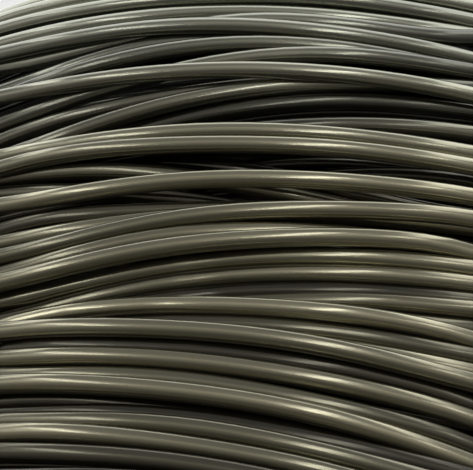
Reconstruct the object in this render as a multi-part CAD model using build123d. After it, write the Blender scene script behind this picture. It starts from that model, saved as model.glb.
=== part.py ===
from build123d import *
import math
import os

# A coil of cold heading wire: one long drawn wire wound into a thick ring and bound
# by steel straps. It stands on its end with its eye upright along Z, and the origin is
# on the floor at the middle of the eye. All lengths are in millimetres.

# Wire and winding
wire_diameter = 12.0        # drawn and coated wire
lay_pitch = 12.2            # spacing from one turn to the next at the surface
eye_diameter = 660.0        # clear hole through the coil, over the inmost turns
coil_build = 162.0          # thickness of the winding, from the eye to the outside
coil_length = 568.0         # along the eye, over the turns of both ends
corner_radius = 30.0        # rounding of the winding's four edges
turn_show_angle = 60.0      # each turn shows this many degrees either side of its crest

# Binding
strap_count = 4
strap_width = 32.0
strap_thickness = 1.0
strap_gap = 0.3             # between a strap and the crests that it lies on
strap_first_angle = 45.0    # the first strap's place round the coil, from +X
strap_tail = 26.0           # length of doubled strap that shows past each end of a seal
seal_length = 46.0
seal_thickness = 1.2
seal_gap = 0.2              # between a seal and the strap inside it
seal_inset = 150.0          # middle of a seal from the lower end of the winding
notch_depth = 3.0           # crimps pressed into the edges of a seal
notch_width = 7.0
notch_spacing = 18.0

wire_radius = wire_diameter / 2
eye_radius = eye_diameter / 2
outer_radius = eye_radius + coil_build
outer_face = outer_radius + strap_gap           # inner face of a strap on the round side
seal_height = seal_inset - coil_length / 2      # from the middle of the winding
standing_height = coil_length / 2 + strap_gap + strap_thickness


def rounded_path(width, height, radius, count):
    """Points spaced evenly round a rounded rectangle about the origin, each with its outward direction."""
    flat_x = width - 2 * radius
    flat_y = height - 2 * radius
    quarter = math.pi / 2 * radius
    # Anticlockwise from the foot of the right side: each stretch's length, its start or
    # its centre, the direction that it faces there, and whether it turns.
    stretches = [
        (flat_y, (width / 2, -flat_y / 2), 0, False),
        (quarter, (flat_x / 2, flat_y / 2), 0, True),
        (flat_x, (flat_x / 2, height / 2), 90, False),
        (quarter, (-flat_x / 2, flat_y / 2), 90, True),
        (flat_y, (-width / 2, flat_y / 2), 180, False),
        (quarter, (-flat_x / 2, -flat_y / 2), 180, True),
        (flat_x, (-flat_x / 2, -height / 2), 270, False),
        (quarter, (flat_x / 2, -flat_y / 2), 270, True),
    ]
    spacing = sum(stretch[0] for stretch in stretches) / count
    points = []
    for i in range(count):
        along = i * spacing
        for length, start, facing, turns in stretches:
            if along < length:
                break
            along -= length
        facing = math.radians(facing) + (along / radius if turns else 0)
        out = Vector(math.cos(facing), math.sin(facing))
        if turns:
            points.append((Vector(*start) + out * radius, out))
        else:
            points.append((Vector(*start) + Vector(-out.Y, out.X) * along, out))
    return points


def winding_profile():
    """The winding's section: a rounded rectangle whose edge is a row of half-sunk turns."""
    width = coil_build - wire_diameter
    height = coil_length - wire_diameter
    radius = corner_radius - wire_radius
    around = 2 * (width + height) - (8 - 2 * math.pi) * radius
    turns = rounded_path(width, height, radius, round(around / lay_pitch))
    show = math.radians(turn_show_angle)
    centre = Vector(eye_radius + coil_build / 2, 0)
    crests = []
    for place, out in turns:
        side = Vector(-out.Y, out.X)
        flank = out * math.cos(show) * wire_radius
        start = centre + place + flank - side * math.sin(show) * wire_radius
        end = centre + place + flank + side * math.sin(show) * wire_radius
        crests.append((start, centre + place + out * wire_radius, end))
    edges = []
    for i, (start, crest, end) in enumerate(crests):
        following = crests[(i + 1) % len(crests)][0]
        edges.append(Edge.make_three_point_arc(start, crest, end))
        edges.append(Edge.make_line(end, following))
    return Plane.XZ * Face(Wire(edges))


def wound_wire():
    """The whole winding as one turned solid with its eye."""
    return revolve(winding_profile(), Axis.Z)


def strap_loop():
    """One strap, round the winding's section at +X: a closed band with its doubled tail."""
    # A flat strap in the round eye rests on its two edges.
    inner_face = math.sqrt(eye_radius**2 - (strap_width / 2) ** 2) - strap_gap
    inside_width = outer_face - inner_face
    inside_height = coil_length + 2 * strap_gap
    inside_radius = corner_radius + strap_gap
    band = Pos((inner_face + outer_face) / 2, 0) * (
        RectangleRounded(
            inside_width + 2 * strap_thickness,
            inside_height + 2 * strap_thickness,
            inside_radius + strap_thickness,
        )
        - RectangleRounded(inside_width, inside_height, inside_radius)
    )
    tail_middle = outer_face + strap_thickness + strap_thickness / 2
    tail = Pos(tail_middle, seal_height) * Rectangle(
        strap_thickness, seal_length + 2 * strap_tail
    )
    return extrude(Plane.XZ * (band + tail), strap_width / 2, both=True)


def seal():
    """The crimped steel clip over a strap's two ends, open on the side of the turns."""
    hollow_depth = 2 * strap_thickness + seal_gap
    hollow_width = strap_width + 2 * seal_gap
    depth = hollow_depth + seal_thickness
    width = hollow_width + 2 * seal_thickness
    clip = Pos(outer_face + depth / 2, 0, seal_height) * Box(depth, width, seal_length)
    clip -= Pos(outer_face + hollow_depth / 2, 0, seal_height) * Box(
        hollow_depth, hollow_width, seal_length
    )
    # Two crimps bite into each edge of the clip.
    for side in (-1, 1):
        edge = side * width / 2
        for middle in (seal_height - notch_spacing / 2, seal_height + notch_spacing / 2):
            crimp = make_face(
                Polyline(
                    (edge, middle - notch_width / 2),
                    (edge, middle + notch_width / 2),
                    (edge - side * notch_depth, middle),
                    close=True,
                )
            )
            clip -= Pos(outer_face, 0, 0) * extrude(Plane.YZ * crimp, depth, both=True)
    return clip


def placed(shape, angle):
    """A shape made about the middle of the winding, turned round the eye and lifted to stand on the floor."""
    return Pos(0, 0, standing_height) * Rot(0, 0, angle) * shape


os.makedirs("parts", exist_ok=True)
export_step(placed(wound_wire(), 0), "parts/wire_winding.step")
for i in range(strap_count):
    angle = strap_first_angle + i * 360 / strap_count
    export_step(placed(strap_loop(), angle), f"parts/strap_{i + 1}.step")
    export_step(placed(seal(), angle), f"parts/strap_seal_{i + 1}.step")
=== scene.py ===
import math

import bmesh
import bpy
import numpy as np
from mathutils import Matrix, Vector


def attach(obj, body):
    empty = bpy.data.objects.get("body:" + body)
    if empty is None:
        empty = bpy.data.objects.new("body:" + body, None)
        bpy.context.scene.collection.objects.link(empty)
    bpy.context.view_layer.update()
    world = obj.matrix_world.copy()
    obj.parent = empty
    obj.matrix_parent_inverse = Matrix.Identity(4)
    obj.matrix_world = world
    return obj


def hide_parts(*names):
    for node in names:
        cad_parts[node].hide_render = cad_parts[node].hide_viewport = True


# Coil of cold heading wire, standing on its end. The turns of wire are swept tubes: those
# of the side that the photograph shows lie where it shows them, and the rest are laid
# like them. Lengths are in metres, and angles run round the coil from its front to +X.

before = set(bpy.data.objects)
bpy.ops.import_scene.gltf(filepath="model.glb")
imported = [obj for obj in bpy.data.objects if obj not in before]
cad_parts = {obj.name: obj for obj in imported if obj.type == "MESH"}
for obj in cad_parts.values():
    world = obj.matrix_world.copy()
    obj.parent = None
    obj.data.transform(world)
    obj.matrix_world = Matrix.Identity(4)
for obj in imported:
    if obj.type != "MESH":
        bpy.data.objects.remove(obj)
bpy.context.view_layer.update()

# The camera

cameraView = {
    "place": (-0.1931, -1.1563, 0.9273),
    "looksAt": (-0.0361, -0.4854, 0.2967),
    "roll": 188.04,            # degrees; the photograph has the coil's lower end at its top
    "lens": 114.67,            # mm
    "sensor": 36.0,            # mm, across the picture
    "wide": 473,               # the photograph's frame, in pixels
    "high": 470,
}
focalPixels = cameraView["lens"] / cameraView["sensor"] * cameraView["wide"]


def makeCamera():
    forward = (Vector(cameraView["looksAt"]) - Vector(cameraView["place"])).normalized()
    upright = forward.to_track_quat("-Z", "Y").to_matrix()
    turned = upright @ Matrix.Rotation(math.radians(cameraView["roll"]), 3, "Z")
    data = bpy.data.cameras.new("camera")
    data.lens = cameraView["lens"]
    data.sensor_width = cameraView["sensor"]
    data.clip_start = 0.02
    camera = bpy.data.objects.new("camera", data)
    camera.matrix_world = Matrix.Translation(cameraView["place"]) @ turned.to_4x4()
    bpy.context.scene.collection.objects.link(camera)
    bpy.context.scene.camera = camera
    return np.array(turned)


cameraAxes = makeCamera()
print("camera made")


def pictureOf(points):
    # column, row and depth at which the camera sees the points
    seen = (points - np.array(cameraView["place"])) @ cameraAxes
    depth = -seen[..., 2]
    column = cameraView["wide"] / 2 + focalPixels * seen[..., 0] / depth
    row = cameraView["high"] / 2 - focalPixels * seen[..., 1] / depth
    return column, row, depth


# The lay of the wire

winding = {
    "wireRadius": 0.006,
    "outerRadius": 0.4858,     # to the middle of the outermost turns
    "eyeRadius": 0.336,        # to the middle of the inmost turns
    "low": 0.0073,             # height of the middle of the lowest turns
    "high": 0.5633,
    "cornerRadius": 0.024,     # of the section's corners, over the middles of the turns
    "turnsRound": 112,         # turns round the whole section
    "layerStep": 0.0105,       # depth of the turns that lie in the furrows of the outer ones
    "frontDip": 0.024,         # how much deeper they lie where the photograph looks in
    "dipReach": (30, 52),      # degrees from the front to where that fades, and where it ends
    "steps": 180,              # points in one turn
    "bay": 45,                 # degrees from the front to the first strap on each side
    "paintedShadeDepth": (0.005, 0.018),   # depth where painted shade begins, and where it is full
}
angles = np.radians(np.arange(winding["steps"]) * 360 / winding["steps"] - 180)
degrees = np.degrees(angles)
stepAngle = 360 / winding["steps"]
viewReach = winding["bay"] - 12    # degrees from the front over which the photograph places turns

# Each line is one turn from the top of the photograph down: the rows at which its top edge
# crosses the nine columns, how deep it lies below the outermost turns at the left, the
# middle and the right, in mm, and the share of painted shade on it there, if it has any,
# which darkens turns that lie in shade.
pictureColumns = (0, 60, 120, 180, 240, 300, 360, 420, 473)
depthColumns = (0, 236, 473)
outerTurns = [
    ((22, 7.5, -3, -9, -11.5, -11, -5.5, 3, 13), (0, 0, 0)),
    ((37, 22.5, 12, 6, 4.3, 6, 11, 19.5, 27), (0, 0, 0)),
    ((60, 47, 35, 20.5, 10.5, 13.5, 20, 25, 30), (11, 3, 1), (0, 0.1, 1)),
    ((46, 33, 23, 18, 17, 21, 29, 38.5, 51), (0, 0, 0), (0.4, 0.1, 0.2)),
    ((91, 68, 51.5, 40, 35, 36, 43, 53, 65), (3, 3, 8), (0.7, 0.2, 1)),
    ((117, 94, 78, 60.5, 50, 46.5, 48, 54, 63.5), (7, 7, 3), (0.6, 0, 1)),
    ((89, 77.5, 68.5, 63, 61, 62.5, 68, 76, 86.5), (0, 0, 0), (0.3, 0, 0)),
    ((150, 128, 109, 93.5, 80.5, 77.5, 76.5, 75.5, 80), (7, 6, 5), (0.7, 0.1, 0.9)),
    ((175, 148, 128, 112, 101, 94.5, 93.5, 97, 103), (22, 17, 14), (1, 0.9, 0.7)),
    ((166, 150, 138, 130, 123, 118, 116.5, 119.5, 125), (22, 13, 10), (1, 1, 0.2)),
    ((149, 137.5, 129, 123.7, 121.5, 123.5, 129, 136, 145), (0, 0, 0)),
    ((160, 145.5, 139.5, 136, 134.5, 137, 142, 148.5, 158), (0, 0, 0), (0.3, 0, 0)),
    ((165, 158, 154, 154, 161, 171.5, 186, 199, 208), (32, 18, 14), (1, 1, 0.7)),
    ((197, 187, 178, 171.5, 169, 170, 174, 179.5, 187.5), (0, 0, 0)),
    ((171, 164, 162.5, 168, 176.5, 188, 201, 213, 224), (13, 11, 14), (0.6, 0.5, 0.7)),
    ((222, 209.5, 204, 201.5, 201, 200, 204, 209, 215), (2, 5, 9), (0.9, 0.5, 0.3)),
    ((235, 224, 214, 208, 205, 204, 207, 212, 218), (3, 8, 12), (0.3, 0, 0)),
    ((248, 234.5, 219, 209, 203, 199.5, 201, 203.5, 209.5), (0, 0, 0), (0.6, 0.1, 0)),
    ((266, 249, 235, 225, 222, 222.5, 227, 234, 243), (4, 3, 8), (0.5, 0.2, 0.2)),
    ((273, 259, 245, 235, 231, 227.5, 227, 233, 243), (12, 5, 0), (0.2, 0, 0)),
    ((294, 280, 266, 256, 250.5, 247, 247.5, 253, 259), (12, 13, 0), (0.5, 0.1, 0)),
    ((313, 297, 282.5, 272, 267, 263.5, 265, 269, 275), (20, 15, 0), (0.5, 0.2, 0)),
    ((325, 309, 301, 297, 294.5, 291.5, 292, 296, 300), (26, 17, 1), (1, 0.6, 0.2)),
    ((318, 304, 298, 295.5, 296, 300, 306.5, 316, 330), (16, 9, 0)),
    ((334, 323, 316, 314.5, 316, 319, 327, 337, 347), (14, 11, 3), (1, 0.7, 0.7)),
    ((344, 337, 331, 329, 329, 334, 342, 352, 363), (22, 11, 2)),
    ((322, 318, 317, 320, 324.5, 332, 344, 358, 372), (0, 0, 0)),
    ((340, 337, 337, 340, 345, 354, 364, 378, 395), (8, 8, 8), (1, 1, 0.9)),
    ((349, 346, 347, 350.5, 357, 366, 379, 392, 409), (4, 4, 4)),
    ((367, 366, 366.5, 370.5, 378, 390, 402, 418, 436), (7, 7, 4), (0.3, 0.4, 1)),
    ((374, 373.5, 375, 382, 389, 400, 415, 434, 453), (0, 2, 4)),
    ((393, 391, 394, 401, 409, 420, 434, 449, 464), (9, 9, 10), (1, 1, 1)),
    ((406, 403, 404, 408, 415.5, 427, 440, 453.5, 468), (9, 8, 7), (1, 1, 1)),
    ((411.5, 411, 411.5, 416.5, 424, 437, 451, 466.5, 482), (2, 4, 4), (0.6, 0.5, 0.8)),
    ((423, 422.5, 427, 434, 443.5, 455, 470, 487, 503), (5, 5, 5), (0, 0.3, 0.3)),
    ((442, 443, 447, 453, 462, 475, 490, 507, 523), (0, 0, 0), (0.8, 0.8, 0.9)),
    ((454, 454.5, 457.5, 463, 474, 488, 503, 520, 536), (4, 4, 4), (1, 1, 1)),
    ((468, 467, 468, 474, 484, 499, 515, 532, 548), (0, 0, 0), (1, 1, 1)),
]
underTurns = [
    ((84, 62.5, 45, 32.5, 33.5, 38, 45, 55, 66), (6, 10, 14)),
    ((133, 112, 97, 86.5, 77, 73, 75, 80, 88), (13, 14, 14)),
    ((168, 150, 136, 122.5, 111.5, 105, 103.5, 107, 113), (36, 28, 24)),
    ((180, 164, 150, 141, 134, 129, 126, 126, 130), (27, 20, 14)),
    ((186, 183, 185, 190.5, 199, 209, 218, 228, 238), (12, 13, 14)),
    ((200, 190, 180, 170, 160, 153.5, 156, 162, 170), (36, 32, 24)),
    ((235, 220, 205, 193, 182, 171, 166, 168, 173), (38, 30, 22)),
    ((330, 312, 298, 288, 284, 281, 283, 287, 292), (12, 17, 18)),
    ((330, 322, 315, 308, 303, 304, 308.5, 313.5, 319), (28, 21, 7)),
]
outerCount = 48                # turns of the outer side and its two corners
firstSlot = -3                 # slot of the first of them
photoSlot = 1                  # slot of the first photographed turn
underCount = 41
underMatch = 0.473             # radius at which a photographed turn of the layer below is told apart


def smoothStep(x):
    x = np.clip(x, 0, 1)
    return x * x * (3 - 2 * x)


def sectionPlaces(slots):
    # Radius and height of slots spaced evenly round the section, from the foot of its
    # outer side upwards; a slot number may lie between two.
    corner = winding["cornerRadius"]
    inner, outer = winding["eyeRadius"] + corner, winding["outerRadius"] - corner
    low, high = winding["low"] + corner, winding["high"] - corner
    radii, heights = [outer + corner], [low]
    for middleRadius, middleHeight, start in ((outer, high, 0), (inner, high, 90),
                                              (inner, low, 180), (outer, low, 270)):
        for turn in np.radians(np.linspace(start, start + 90, 25)):
            radii.append(middleRadius + corner * math.cos(turn))
            heights.append(middleHeight + corner * math.sin(turn))
    lengths = np.concatenate([[0], np.cumsum(np.hypot(np.diff(radii), np.diff(heights)))])
    total = lengths[-1] + math.hypot(radii[-1] - radii[0], heights[-1] - heights[0])
    along = np.mod(slots, winding["turnsRound"]) / winding["turnsRound"] * total
    return np.interp(along, lengths, radii), np.interp(along, lengths, heights)


def layShift():
    # Behind the coil each turn moves over by one slot: half before the back and half after.
    half = winding["bay"]
    before = smoothStep((degrees - 180 + half) / half)
    after = smoothStep((-degrees - 180 + half) / half)
    return (before - after) / 2


def fitPicture(turn):
    rows, depths = turn[:2]
    edge = np.polynomial.Polynomial.fit(pictureColumns, rows, 5)
    depth = np.polynomial.Polynomial.fit(depthColumns, np.array(depths) / 1000, 2)
    return edge, edge.deriv(), depth


def middleRow(fitted, column, depth):
    # row of the middle of a turn whose top edge has been read off the photograph
    edge, lean, _ = fitted
    held = np.clip(column, 0, cameraView["wide"])
    slope = lean(held)
    half = focalPixels * winding["wireRadius"] / depth
    return edge(held) + slope * (column - held) + half * np.sqrt(1 + slope**2)


# How a turn's height is found on its line in the picture, in metres.
search = {"start": 0.28, "step": 0.0005, "rounds": 14, "most": 0.1, "lowest": -0.2, "highest": 0.8}


def heightInPicture(fitted, radius, angle):
    # height at which a turn of that radius is seen on its line, and the column there
    height = np.full(len(angle), search["start"])
    for _ in range(search["rounds"]):
        misses = []
        for test in (height, height + search["step"]):
            place = np.stack([radius * np.sin(angle), -radius * np.cos(angle), test], -1)
            column, row, depth = pictureOf(place)
            misses.append(row - middleRow(fitted, column, depth))
        change = misses[0] * search["step"] / (misses[1] - misses[0])
        height -= np.clip(change, -search["most"], search["most"])
        height = np.clip(height, search["lowest"], search["highest"])
    return height, column


settling = {
    "clear": 0.01205,          # least distance between the middles of two turns
    "near": 0.026,             # two turns that come closer than this somewhere are a pair
    "sightRounds": 300,        # moves of the photographed turns along the line of sight
    "sightPush": 0.35,
    "sightAim": 0.01,
    "pressing": 0.0003,        # a push that shows in the count of pairs that still press
    "rounds": 140,             # moves of the other turns
    "lastRounds": 20,          # the last of either, which don't smooth how far a turn has moved
    "smooth": 0.5,
    "freePush": 0.5,
    "freeAim": 0.02,
    "unbend": 0.25,
    "longest": 0.003,          # move of a point in one round
    "outerGive": 0.25,         # how readily the outer turns move, beside the layer below
    "strapFade": 6,            # degrees from a strap within which a turn is held by it
    "probe": 0.005,            # how much deeper a turn is tried, to find the line of sight
    "margin": 12,              # pixels outside the photograph up to which its turns are held
    "heldFade": 5,             # points past them over which they come loose
    "roomAbove": 8,            # turns above and below the photographed ones that make room
    "roomBelow": 5,
}
drifts = {"height": (5, 0.004), "radius": (11, 0.0035)}    # seed, and reach in metres


def placeInView(turns):
    # radius, height, slope of the line of sight and share of painted shade at each point of the
    # photographed turns
    shape = (len(turns), winding["steps"])
    radius, height, paintedShade = np.zeros(shape), np.zeros(shape), np.zeros(shape)
    rise, inView = np.ones(shape), np.zeros(shape, bool)
    margin, probe = settling["margin"], settling["probe"]
    near = np.where(np.abs(degrees) < viewReach)[0]
    for i, turn in enumerate(turns):
        fitted = fitPicture(turn)
        seenRadius = np.full(len(near), winding["outerRadius"] - np.mean(turn[1]) / 1000)
        for _ in range(3):
            seenHeight, column = heightInPicture(fitted, seenRadius, angles[near])
            seenRadius = winding["outerRadius"] - fitted[2](np.clip(column, 0, cameraView["wide"]))
        seenRadius = np.minimum(seenRadius, winding["outerRadius"])
        seenHeight, column = heightInPicture(fitted, seenRadius, angles[near])
        deeper, _ = heightInPicture(fitted, seenRadius - probe, angles[near])
        radius[i, near], height[i, near] = seenRadius, seenHeight
        rise[i, near] = (seenHeight - deeper) / probe
        inView[i, near[(column > -margin) & (column < cameraView["wide"] + margin)]] = True
        # The table's painted shade, fading out towards the straps.
        if len(turn) > 2:
            fade = smoothStep((viewReach - np.abs(degrees[near])) / (winding["bay"] - viewReach))
            paintedShade[i, near] = np.interp(column, depthColumns, turn[2]) * fade
    return radius, height, rise, inView, paintedShade


def closePairs(radius, height, seen=True):
    # first and second of each two turns that come near each other
    count = len(radius)
    pairs = []
    for i in range(count):
        for j in range(i + 1, count):
            distance = np.hypot(radius[i] - radius[j], height[i] - height[j])
            if np.where(seen, distance, 1).min() < settling["near"]:
                pairs.append((i, j))
    return np.array(pairs).T


def sortInView(radius, height, rise, inView):
    # Moves the photographed turns along the line of sight until none lies in another. Of two
    # that cross, the one that was put nearer to the camera stays in front.
    first, second = closePairs(radius, height, np.abs(degrees) < viewReach)
    put, level = radius.copy(), height.copy()
    length = np.sqrt(1 + rise**2)
    sightRadius = (1 / length[first] + 1 / length[second]) / 2
    sightHeight = (rise[first] / length[first] + rise[second] / length[second]) / 2
    both = inView[first] & inView[second]
    inFront = None
    for turn in range(settling["sightRounds"]):
        apartRadius, apartHeight = radius[first] - radius[second], height[first] - height[second]
        along = apartRadius * sightRadius + apartHeight * sightHeight
        across = apartHeight * sightRadius - apartRadius * sightHeight
        needed = np.sqrt(np.maximum(settling["clear"]**2 - across**2, 0))
        if inFront is None:
            inFront = np.where((both * needed * along).sum(1) < 0, -1, 1)[:, None]
        push = np.maximum(needed - inFront * along, 0) * np.minimum(3 * needed / settling["clear"], 1)
        push *= inFront * both * settling["sightPush"]
        np.add.at(radius, first, push / length[first])
        np.add.at(radius, second, -push / length[second])
        before = np.where(np.roll(inView, 1, 1), np.roll(radius, 1, 1), radius)
        after = np.where(np.roll(inView, -1, 1), np.roll(radius, -1, 1), radius)
        if turn < settling["sightRounds"] - settling["lastRounds"]:
            smoothing = ((before + after) / 2 - radius) * settling["smooth"]
            radius += smoothing + (put - radius) * settling["sightAim"]
        radius = np.minimum(radius, winding["outerRadius"])
        height = level + rise * (radius - put)
    pressing = (push * inFront * length[first] > settling["pressing"]).any(1)
    print("turns in view sorted;", int(pressing.sum()), "pairs still press")
    return radius, height


def runOn(radius, height, inView, regularRadius, regularHeight):
    # From the edges of the view a turn runs on smoothly to its place at the strap on each side.
    held = np.zeros_like(radius)
    for i in range(len(radius)):
        shown = np.where(inView[i])[0]
        held[i, shown] = 1
        for values, regular in ((radius[i], regularRadius[i]), (height[i], regularHeight[i])):
            kept = values.copy()
            values[:] = regular
            values[shown] = kept[shown]
            for end, step in ((shown[0], -1), (shown[-1], 1)):
                span = int(round((winding["bay"] - step * degrees[end]) / stepAngle))
                k = np.arange(1, span + 1)
                t = k / span
                slope = (kept[end] - kept[end - 2 * step]) / 2
                onward = kept[end] + slope * span * t * (1 - t) ** 2
                values[end + step * k] = onward + (regular[end + step * k] - onward) * smoothStep(t)
                held[i, end + step * k] = 1 - smoothStep(k / settling["heldFade"])
    return held


def wander(count, seed, reach):
    # a smooth drift of each turn between the straps, alike in neighbours
    source = np.random.default_rng(seed)
    drift = np.zeros((count, winding["steps"]))
    for start in (winding["bay"] + 90 * k for k in range(3)):
        bay = np.clip((np.mod(degrees, 360) - start) / 90, 0, 1)
        for waves in (0, 1):
            groups = np.convolve(source.normal(size=count + 8), np.hanning(9), "same")[4:-4]
            lean = groups * 0.7 + source.normal(size=count) * 0.6
            drift += np.outer(lean, np.sin(np.pi * bay) ** 2 * np.cos(np.pi * waves * bay)) * reach
    return drift


def layLooseTurns():
    shift = layShift()[None, :]
    outer = sectionPlaces(np.arange(outerCount)[:, None] + firstSlot + shift)
    pitch = (winding["high"] - winding["low"] - 2 * winding["cornerRadius"]) / (underCount + 0.5)
    underHeight = (winding["low"] + winding["cornerRadius"]
                   + (np.arange(underCount)[:, None] + 0.5 + shift) * pitch)
    underRadius = np.full_like(underHeight, winding["outerRadius"] - winding["layerStep"])
    # A photographed turn of the layer below takes the slot that is nearest to it, and the
    # others lie deeper where the photograph looks between the turns.
    front = int(np.argmin(np.abs(degrees)))
    free = list(range(underCount))
    order = []
    for turn in underTurns:
        height, _ = heightInPicture(fitPicture(turn), np.array([underMatch]), angles[[front]])
        slot = min(free, key=lambda k: abs(underHeight[k, front] - height[0]))
        free.remove(slot)
        order.append(slot)
    order += free
    underHeight = underHeight[order]
    full, end = winding["dipReach"]
    dip = winding["frontDip"] * smoothStep((end - np.abs(degrees)) / (end - full))
    underRadius[len(underTurns):] -= dip
    radius = np.concatenate([outer[0], underRadius])
    height = np.concatenate([outer[1], underHeight])
    held, paintedShade = np.zeros_like(radius), np.zeros_like(radius)
    seenRadius, seenHeight, rise, inView, seenPaintedShade = placeInView(outerTurns + underTurns)
    seenRadius, seenHeight = sortInView(seenRadius, seenHeight, rise, inView)
    lead = photoSlot - firstSlot
    taken = [*range(lead, lead + len(outerTurns)), *range(outerCount, outerCount + len(underTurns))]
    held[taken] = runOn(seenRadius, seenHeight, inView, radius[taken], height[taken])
    room = seenHeight - height[taken]
    radius[taken], height[taken], paintedShade[taken] = seenRadius, seenHeight, seenPaintedShade
    # Next to them the outermost turns make room, less and less from turn to turn.
    for edge, step, reach in ((len(outerTurns) - 1, 1, settling["roomAbove"]),
                              (0, -1, settling["roomBelow"])):
        for k in range(1, reach):
            turn = taken[edge] + step * k
            if 0 <= turn < outerCount:
                height[turn] += room[edge] * (1 - k / reach)
    return radius, height, held, paintedShade, np.argsort(order)


def bendOf(values):
    # how far each point lies from the middle of its two neighbours; an outer turn goes on
    # into the next behind the coil
    last = outerCount - 1
    before, after = np.roll(values, 1, 1), np.roll(values, -1, 1)
    before[1:last + 1, 0] = values[:last, -1]
    after[:last, -1] = values[1:last + 1, 0]
    before[0, 0], after[last, -1] = values[0, 0], values[last, -1]
    return (before + after) / 2 - values


def settleTurns(radius, height, held):
    # Moves the other turns apart where they lie in each other, and smooths them.
    height[:outerCount] += wander(outerCount, *drifts["height"])
    radius[:outerCount] -= np.abs(wander(outerCount, *drifts["radius"]))
    aimRadius, aimHeight = radius.copy(), height.copy()
    count = len(radius)
    fromStrap = np.abs(np.abs(np.abs(degrees) - 90) - winding["bay"])
    loose = np.clip(fromStrap / settling["strapFade"], 0.02, 1)[None, :] * (1 - held)
    give = np.where(np.arange(count) < outerCount, settling["outerGive"], 1.0)[:, None] * loose
    first, second = closePairs(radius, height)
    bothGive = np.maximum(give[first] + give[second], 0.005)
    firstShare, secondShare = give[first] / bothGive, give[second] / bothGive
    corner = winding["cornerRadius"]
    cornerRadius = winding["outerRadius"] - corner
    low, high = winding["low"] + corner, winding["high"] - corner
    for turn in range(settling["rounds"]):
        apartRadius, apartHeight = radius[first] - radius[second], height[first] - height[second]
        distance = np.hypot(apartRadius, apartHeight) + 1e-9
        push = np.maximum(settling["clear"] - distance, 0) / distance * settling["freePush"]
        for values, apart in ((radius, apartRadius), (height, apartHeight)):
            move = np.zeros_like(values)
            np.add.at(move, first, push * firstShare * apart)
            np.add.at(move, second, -push * secondShare * apart)
            values += np.clip(move, -settling["longest"], settling["longest"])
        # Smooth how far each turn has moved, and take kinks out of it.
        for values, aim in ((radius, aimRadius), (height, aimHeight)):
            if turn < settling["rounds"] - settling["lastRounds"]:
                moved = values - aim
                values += (bendOf(moved) * settling["smooth"] - moved * settling["freeAim"]) * loose
            values -= bendOf(bendOf(values)) * settling["unbend"] * loose
        # Nothing leaves the section's rounded outline, and the layer below stays below.
        radius = np.minimum(radius, winding["outerRadius"])
        under = radius[outerCount:]
        np.minimum(under, aimRadius[outerCount:], out=under, where=held[outerCount:] == 0)
        beyond = np.clip(height, low, high)
        away = np.hypot(np.maximum(radius - cornerRadius, 0), height - beyond)
        outside = (away > corner) & (height != beyond) & (held == 0)
        pull = np.where(outside, corner / np.maximum(away, 1e-9), 1)
        radius = np.where(pull < 1, cornerRadius + np.maximum(radius - cornerRadius, 0) * pull, radius)
        height = np.where(pull < 1, beyond + (height - beyond) * pull, height)
    distance = np.hypot(radius[first] - radius[second], height[first] - height[second])
    overlap = settling["clear"] - distance
    print("settled; deepest overlap left", round(float(overlap.max()) * 1000, 2), "mm;",
          "share over 1 mm", round(float((overlap > 0.001).mean()), 5))
    return radius, height


def paintedShadeInDepth(radius, height):
    # share of painted shade by how deep a point lies below the outermost turns of the round side:
    # deeper points are painted darker, as shade between the turns
    corner = winding["cornerRadius"]
    low, high = winding["low"] + corner, winding["high"] - corner
    beyond = np.clip(np.abs(height - np.clip(height, low, high)), 0, corner)
    outline = winding["outerRadius"] - corner + np.sqrt(corner**2 - beyond**2)
    start, full = winding["paintedShadeDepth"]
    return np.clip((outline - radius - start) / (full - start), 0, 1)


looseRadius, looseHeight, held, loosePaintedShade, underOrder = layLooseTurns()
looseRadius, looseHeight = settleTurns(looseRadius, looseHeight, held)
# Painted shade by depth: added to the outer turns where they are loose, and the whole of it on the
# layer below.
paintedShadeByDepth = paintedShadeInDepth(looseRadius, looseHeight)
loosePaintedShade[:outerCount] += (paintedShadeByDepth * (1 - held))[:outerCount]
loosePaintedShade[outerCount:] = paintedShadeByDepth[outerCount:]

# The swept turns

# Slots of the section's turns in each piece, and how many sides the wire has there.
wirePieces = {
    "wire_outer_low": {"slots": (-3, 20), "sides": 16},
    "wire_outer_high": {"slots": (21, 44), "sides": 16},
    "wire_top_and_eye": {"slots": (45, 76), "sides": 12},
    "wire_eye_and_foot": {"slots": (77, 108), "sides": 12},
}


def turnPoints(radius, height, paintedShade):
    # x, y, z and share of painted shade along one turn
    return np.stack([radius * np.sin(angles), -radius * np.cos(angles), height, paintedShade], -1)


def looseTurn(turn):
    return turnPoints(looseRadius[turn], looseHeight[turn], loosePaintedShade[turn])


def shellTurn(slot):
    # one turn of the outside, the ends or the eye
    if slot < outerCount + firstSlot:
        return looseTurn(slot - firstSlot)
    return turnPoints(*sectionPlaces(slot + layShift()), np.zeros(winding["steps"]))


def markMesh(mesh, place, paintedShade):
    marks = mesh.attributes.new("wirePlace", "FLOAT_VECTOR", "POINT")
    marks.data.foreach_set("vector", place.astype(np.float32).ravel())
    # The second mark is the share of painted shade.
    marks = mesh.attributes.new("paintedShade", "FLOAT", "POINT")
    marks.data.foreach_set("value", paintedShade.astype(np.float32))


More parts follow.
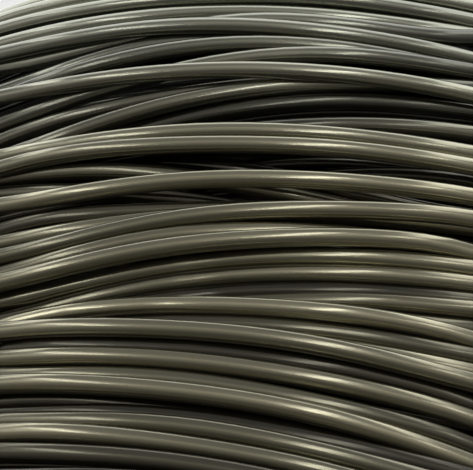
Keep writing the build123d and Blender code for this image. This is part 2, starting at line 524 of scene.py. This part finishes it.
def sweepWire(name, points, sides):
    # a round wire along the points, with the marks that its material follows
    points, paintedShade = points[:, :3], points[:, 3]
    wireRadius = winding["wireRadius"]
    curve = bpy.data.curves.new(name, "CURVE")
    curve.dimensions = "3D"
    curve.bevel_depth = wireRadius
    curve.bevel_resolution = sides // 2 - 2
    curve.use_fill_caps = True
    spline = curve.splines.new("POLY")
    spline.points.add(len(points) - 1)
    spline.points.foreach_set("co", np.concatenate([points, np.ones((len(points), 1))], 1).ravel())
    holder = bpy.data.objects.new(name + "_path", curve)
    bpy.context.scene.collection.objects.link(holder)
    mesh = bpy.data.meshes.new_from_object(holder)
    bpy.data.objects.remove(holder)
    bpy.data.curves.remove(curve)
    mesh.name = name
    piece = bpy.data.objects.new(name, mesh)
    bpy.context.scene.collection.objects.link(piece)
    mesh.polygons.foreach_set("use_smooth", np.ones(len(mesh.polygons), bool))
    mesh.set_sharp_from_angle(angle=math.radians(60))
    # Where each vertex would be on the straight wire: the grain and dirt follow this.
    ring = np.minimum(np.arange(len(mesh.vertices)) // sides, len(points) - 1)
    side = np.arange(len(mesh.vertices)) % sides * 2 * math.pi / sides
    lengths = np.concatenate([[0], np.cumsum(np.linalg.norm(np.diff(points, axis=0), axis=1))])
    place = np.stack([np.cos(side) * wireRadius, np.sin(side) * wireRadius, lengths[ring]], -1)
    markMesh(mesh, place, paintedShade[ring])
    return piece


def finishPiece(piece, material, node=None):
    piece.data.materials.clear()
    piece.data.materials.append(material)
    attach(piece, "root")
    if node:
        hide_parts(node)


# Materials

def addNode(tree, kind, inputs=None, **settings):
    node = tree.nodes.new(kind)
    for name, value in settings.items():
        setattr(node, name, value)
    for name, value in (inputs or {}).items():
        if isinstance(value, bpy.types.NodeSocket):
            tree.links.new(value, node.inputs[name])
        else:
            node.inputs[name].default_value = value
    return node


def spanned(tree, value, span, result=(0, 1), **settings):
    # where the value lies in the span, as a value between the two ends of the result
    return addNode(tree, "ShaderNodeMapRange", {
        "Value": value, "From Min": span[0], "From Max": span[1],
        "To Min": result[0], "To Max": result[1]}, **settings).outputs[0]


def mixed(tree, share, first, second, **settings):
    return addNode(tree, "ShaderNodeMix", {"Factor": share, "A": first, "B": second},
                   data_type="RGBA", **settings).outputs["Result"]


def newGroup(name, inputs, outputs):
    group = bpy.data.node_groups.new(name, "ShaderNodeTree")
    for label, kind, value in inputs:
        made = group.interface.new_socket(label, in_out="INPUT", socket_type=kind)
        if value is not None:
            made.default_value = value
    for label, kind in outputs:
        group.interface.new_socket(label, in_out="OUTPUT", socket_type=kind)
    return group, group.nodes.new("NodeGroupInput"), group.nodes.new("NodeGroupOutput")


def makeDrawnGrain():
    # long faint lines that drawing leaves along the wire or strip, and slow changes of tone
    group, given, result = newGroup(
        "drawnGrain",
        [("Vector", "NodeSocketVector", None), ("Fineness", "NodeSocketFloat", 900.0),
         ("Stretch", "NodeSocketVector", (1.0, 1.0, 0.02))],
        [("Lines", "NodeSocketFloat"), ("Tone", "NodeSocketFloat"), ("Blotch", "NodeSocketFloat")],
    )
    stretched = addNode(group, "ShaderNodeVectorMath", {
        0: given.outputs["Vector"], 1: given.outputs["Stretch"]}, operation="MULTIPLY")
    lines = addNode(group, "ShaderNodeTexNoise", {
        "Vector": stretched.outputs[0], "Scale": given.outputs["Fineness"],
        "Detail": 3.0, "Roughness": 0.6})
    tone = addNode(group, "ShaderNodeTexNoise", {
        "Vector": given.outputs["Vector"], "Scale": 1.3, "Detail": 2.0})
    blotch = addNode(group, "ShaderNodeTexNoise", {
        "Vector": given.outputs["Vector"], "Scale": 45.0, "Detail": 4.0, "Roughness": 0.65})
    group.links.new(lines.outputs["Fac"], result.inputs["Lines"])
    group.links.new(tone.outputs["Fac"], result.inputs["Tone"])
    group.links.new(blotch.outputs["Fac"], result.inputs["Blotch"])
    return group


drawnGrain = makeDrawnGrain()


def newMaterial(name, metallic, specular=0.5):
    material = bpy.data.materials.new(name)
    material.use_nodes = True
    tree = material.node_tree
    shader = next(n for n in tree.nodes if n.type == "BSDF_PRINCIPLED")
    shader.inputs["Metallic"].default_value = metallic
    shader.inputs["Specular IOR Level"].default_value = specular
    return material, tree, shader


def addGrain(tree, shader, vector, finish):
    # roughness and fine relief; the group's tone and blotches are left for the colour
    grain = addNode(tree, "ShaderNodeGroup", {
        "Vector": vector, "Fineness": finish["fineness"], "Stretch": finish["stretch"]},
        node_tree=drawnGrain)
    rough = spanned(tree, grain.outputs["Lines"], (0.3, 0.7), finish["roughness"])
    tree.links.new(rough, shader.inputs["Roughness"])
    bump = addNode(tree, "ShaderNodeBump", {
        "Height": grain.outputs["Lines"], "Distance": finish["grainDepth"],
        "Strength": finish["grainStrength"]})
    tree.links.new(bump.outputs[0], shader.inputs["Normal"])
    return grain


wireFinish = {
    "pale": (0.40, 0.379, 0.266, 1),       # phosphate and soap coat on drawn steel
    "deep": (0.27, 0.258, 0.185, 1),
    "toneSpan": (0.35, 0.65),              # of the slow noise, from deep to pale
    "rust": (0.28, 0.13, 0.045, 1),
    "rustSpan": (0.68, 0.78),              # of the blotches, from none to the most rust
    "rustMost": 0.5,
    "paintedShadeColour": (0.065, 0.062, 0.048, 1),     # painted shade: the colour that turns lying deep between others or in shade are darkened to
    "paintedCoolLight": (0.93, 1, 1.14, 1),          # painted cool light: a bluer tint towards the coil's lower end, for cooler reflected light there
    "paintedCoolSpan": (0.09, 0.235),             # heights over which that tint goes
    "metallic": 0.85,
    "roughness": (0.17, 0.24),
    "fineness": 900,
    "stretch": (1, 1, 0.004),
    "grainDepth": 0.00002,
    "grainStrength": 1.0,
}


def makeWireMaterial():
    finish = wireFinish
    material, tree, shader = newMaterial("wire_coated", finish["metallic"])
    place = addNode(tree, "ShaderNodeAttribute", attribute_name="wirePlace")
    paintedShade = addNode(tree, "ShaderNodeAttribute", attribute_name="paintedShade")
    spot = addNode(tree, "ShaderNodeTexCoord")
    parts = addNode(tree, "ShaderNodeSeparateXYZ", {0: spot.outputs["Object"]})
    grain = addGrain(tree, shader, place.outputs["Vector"], finish)
    tone = spanned(tree, grain.outputs["Tone"], finish["toneSpan"])
    coat = mixed(tree, tone, finish["deep"], finish["pale"])
    rust = spanned(tree, grain.outputs["Blotch"], finish["rustSpan"], (0, finish["rustMost"]))
    coat = mixed(tree, rust, coat, finish["rust"])
    # Painted shade: the coat is darkened towards the shade colour by that mark.
    coat = mixed(tree, paintedShade.outputs["Fac"], coat, finish["paintedShadeColour"])
    # Painted cool light: the colour is tinted bluer towards the coil's lower end, standing in for
    # cooler light reflected there.
    upward = spanned(tree, parts.outputs["Z"], finish["paintedCoolSpan"])
    tint = mixed(tree, upward, finish["paintedCoolLight"], (1, 1, 1, 1))
    coat = mixed(tree, 1.0, coat, tint, blend_type="MULTIPLY")
    tree.links.new(coat, shader.inputs["Base Color"])
    return material


wireMaterial = makeWireMaterial()

for name, choice in wirePieces.items():
    start, end = choice["slots"]
    nextSlot = end + 1 if end + 1 < winding["turnsRound"] + firstSlot else firstSlot
    turns = [shellTurn(slot) for slot in range(start, end + 1)]
    points = np.concatenate(turns + [shellTurn(nextSlot)[:1]])
    piece = sweepWire(name, points, choice["sides"])
    finishPiece(piece, wireMaterial, "wire_winding")
    print(name, len(piece.data.polygons), "faces")

underSides = 10
underPoints = np.concatenate([looseTurn(outerCount + k) for k in underOrder])
underPiece = sweepWire("wire_under", underPoints, underSides)
finishPiece(underPiece, wireMaterial, "wire_winding")
print("wire_under", len(underPiece.data.polygons), "faces")

# The deeper turns, one spun body

core = {
    "inset": 0.040,          # from the outermost turns
    "endInset": 0.008,       # from the turns of the ends and the eye
    "pitch": 0.0122,         # from crest to crest
    "crest": 0.0035,
    "steps": 120,
}


def spinCore():
    low, high = winding["low"] + core["endInset"], winding["high"] - core["endInset"]
    inner, outer = winding["eyeRadius"] + core["endInset"], winding["outerRadius"] - core["inset"]
    profile = []
    count = 2 * int((high - low) / core["pitch"])
    for k in range(count + 1):
        profile.append((outer - (core["crest"] if k % 2 else 0), low + (high - low) * k / count))
    profile += [(inner, high), (inner, low)]
    mesh = bpy.data.meshes.new("wire_core")
    shape = bmesh.new()
    corners = [shape.verts.new((x, 0, z)) for x, z in profile]
    edges = [shape.edges.new((a, b)) for a, b in zip(corners, corners[1:] + corners[:1])]
    bmesh.ops.spin(shape, geom=corners + edges, axis=(0, 0, 1), cent=(0, 0, 0), steps=core["steps"],
                   angle=math.tau, use_merge=True)
    bmesh.ops.recalc_face_normals(shape, faces=shape.faces)
    for face in shape.faces:
        face.smooth = True
    shape.to_mesh(mesh)
    shape.free()
    flat = np.empty(len(mesh.vertices) * 3, np.float32)
    mesh.vertices.foreach_get("co", flat)
    x, y, z = flat.reshape(-1, 3).T
    place = np.stack([np.hypot(x, y), z, np.arctan2(x, -y) * np.hypot(x, y)], -1)
    # The whole core is painted fully in the shade colour, as painted shade deep in the coil.
    markMesh(mesh, place, np.ones(len(mesh.vertices)))
    piece = bpy.data.objects.new("wire_core", mesh)
    bpy.context.scene.collection.objects.link(piece)
    return piece


corePiece = spinCore()
finishPiece(corePiece, wireMaterial, "wire_winding")
print("core spun", len(corePiece.data.polygons), "faces")

# Straps and seals

strapFinish = {
    "colour": (0.018, 0.022, 0.030, 1),
    "changed": (0.16, 0.16, 0.16, 1),      # worn
    "changedSpan": (0.62, 0.8),            # of the blotches
    "metallic": 0.6,
    "roughness": (0.28, 0.5),
    "fineness": 500,
    "stretch": (1, 1, 0.05),
    "grainDepth": 0.00005,
    "grainStrength": 0.6,
}
sealFinish = {
    "colour": (0.55, 0.55, 0.54, 1),
    "changed": (0.36, 0.36, 0.35, 1),      # dulled
    "changedSpan": (0.4, 0.7),
    "metallic": 1.0,
    "roughness": (0.3, 0.5),
    "fineness": 500,
    "stretch": (1, 1, 1),
    "grainDepth": 0.00005,
    "grainStrength": 0.6,
}


def makeBandMaterial(name, finish):
    material, tree, shader = newMaterial(name, finish["metallic"])
    place = addNode(tree, "ShaderNodeTexCoord")
    grain = addGrain(tree, shader, place.outputs["Object"], finish)
    share = spanned(tree, grain.outputs["Blotch"], finish["changedSpan"])
    colour = mixed(tree, share, finish["colour"], finish["changed"])
    tree.links.new(colour, shader.inputs["Base Color"])
    return material


strapMaterial = makeBandMaterial("strap_blued", strapFinish)
sealMaterial = makeBandMaterial("seal_zinc", sealFinish)
for name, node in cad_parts.items():
    if name.startswith("strap"):
        for slot in node.material_slots:
            slot.material = sealMaterial if "seal" in name else strapMaterial
print("straps and seals finished")

# Floor and light

floorPlan = {
    "half": 6.0,
    "colour": (0.782, 0.79, 0.815, 1),
    "roughness": 0.6,
    "shown": 0.70,                # glow for the camera
    "bright": 2.30,               # glow for the metal on the floor right before the coil
    "plain": 0.24,                # and on the rest of the floor
    "reach": (0.55, 0.65),        # distance from the eye's axis over which one becomes the other
    "front": (-0.42, -0.30),      # and the same along Y
}


def makeFloor():
    shape = bmesh.new()
    bmesh.ops.create_grid(shape, x_segments=1, y_segments=1, size=floorPlan["half"])
    mesh = bpy.data.meshes.new("floor")
    shape.to_mesh(mesh)
    shape.free()
    floor = bpy.data.objects.new("floor", mesh)
    bpy.context.scene.collection.objects.link(floor)
    material, tree, shader = newMaterial("floor_pale", 0.0, 0.3)
    shader.inputs["Base Color"].default_value = floorPlan["colour"]
    shader.inputs["Roughness"].default_value = floorPlan["roughness"]
    shader.inputs["Emission Color"].default_value = floorPlan["colour"]
    # The metal sees another brightness of the floor than the camera does.
    rays = addNode(tree, "ShaderNodeLightPath")
    place = addNode(tree, "ShaderNodeTexCoord")
    distance = addNode(tree, "ShaderNodeVectorMath", {0: place.outputs["Object"]}, operation="LENGTH")
    parts = addNode(tree, "ShaderNodeSeparateXYZ", {0: place.outputs["Object"]})
    levels = floorPlan["bright"], floorPlan["plain"]
    outward, forward = (
        spanned(tree, value, floorPlan[span], levels, interpolation_type="SMOOTHSTEP")
        for value, span in ((distance.outputs["Value"], "reach"), (parts.outputs["Y"], "front"))
    )
    least = addNode(tree, "ShaderNodeMath", {0: outward, 1: forward}, operation="MINIMUM")
    glow = addNode(tree, "ShaderNodeMath", {
        0: rays.outputs["Is Glossy Ray"], 1: least.outputs[0]}, operation="MULTIPLY")
    shown = addNode(tree, "ShaderNodeMath", {
        0: rays.outputs["Is Camera Ray"], 1: floorPlan["shown"], 2: glow.outputs[0]},
        operation="MULTIPLY_ADD")
    tree.links.new(shown.outputs[0], shader.inputs["Emission Strength"])
    mesh.materials.append(material)


makeFloor()

# Each lamp is a panel that faces the coil: the middles of its lower and upper edge, its
# width in metres, and how bright its face is.
lamps = {
    "strip_front": ((-0.32, -1.27, 0.06), (-0.20, -1.27, 0.66), 0.07, 5.4),
    "strip_left": ((0.58, -1.25, 0.06), (0.42, -1.25, 0.62), 0.06, 5.2),
    "band_front": ((-0.24, -0.52, 0.01), (-0.56, -1.05, 0.01), 0.08, 1.9),
    "band_left": ((0.22, -0.54, 0.01), (0.58, -1.00, 0.01), 0.08, 3.0),
    "strip_right": ((-0.66, -1.20, 0.10), (-0.62, -1.20, 0.45), 0.05, 3.6),
    "panel_left": ((1.6, -2.0, 0.0), (1.5, -1.8, 1.0), 1.6, 0.30),
    "strip_back": ((0.5, 1.6, 0.01), (0.7, 2.2, 2.2), 0.08, 12),
    "panel_back": ((-1.6, 2.2, 0.0), (-1.4, 2.0, 1.6), 1.8, 0.6),
    "strip_side": ((1.9, 0.4, 0.01), (2.1, 0.5, 2.0), 0.08, 10),
}


def makeLamps():
    middle = Vector((0, 0, 0.28))      # of the coil, which every lamp faces
    for name, (foot, top, width, bright) in lamps.items():
        foot, top = Vector(foot), Vector(top)
        place = (foot + top) / 2
        up = (top - foot).normalized()
        back = (place - middle).normalized()
        back = (back - up * back.dot(up)).normalized()
        light = bpy.data.lights.new(name, "AREA")
        light.shape = "RECTANGLE"
        light.size, light.size_y = width, (top - foot).length
        light.energy = bright * math.pi * width * light.size_y
        lamp = bpy.data.objects.new(name, light)
        turned = Matrix((up.cross(back), up, back)).transposed().to_4x4()
        lamp.matrix_world = Matrix.Translation(place) @ turned
        lamp.visible_camera = False
        lamp.visible_diffuse = False
        bpy.context.scene.collection.objects.link(lamp)


# A pale band round the horizon that darkens upwards.
studio = {
    "colour": (1, 0.96, 0.90, 1),
    "bright": (0.66, 0.11),        # at the horizon, and above
    "fade": (0.05, 0.85),          # share of the way up over which one becomes the other
    "backdrop": 0.8,               # at least, for the camera
}


def makeWorld():
    world = bpy.data.worlds.new("studio")
    world.use_nodes = True
    tree = world.node_tree
    background = next(n for n in tree.nodes if n.type == "BACKGROUND")
    background.inputs["Color"].default_value = studio["colour"]
    place = addNode(tree, "ShaderNodeTexCoord")
    parts = addNode(tree, "ShaderNodeSeparateXYZ", {0: place.outputs["Object"]})
    fade = spanned(tree, parts.outputs["Z"], studio["fade"], studio["bright"])
    rays = addNode(tree, "ShaderNodeLightPath")
    shown = addNode(tree, "ShaderNodeMath", {
        0: rays.outputs["Is Camera Ray"], 1: studio["backdrop"]}, operation="MULTIPLY")
    bright = addNode(tree, "ShaderNodeMath", {0: fade, 1: shown.outputs[0]}, operation="MAXIMUM")
    tree.links.new(bright.outputs[0], background.inputs["Strength"])
    bpy.context.scene.world = world


makeWorld()
makeLamps()
bpy.context.scene.view_settings.view_transform = "Standard"
print("floor and lamps placed")
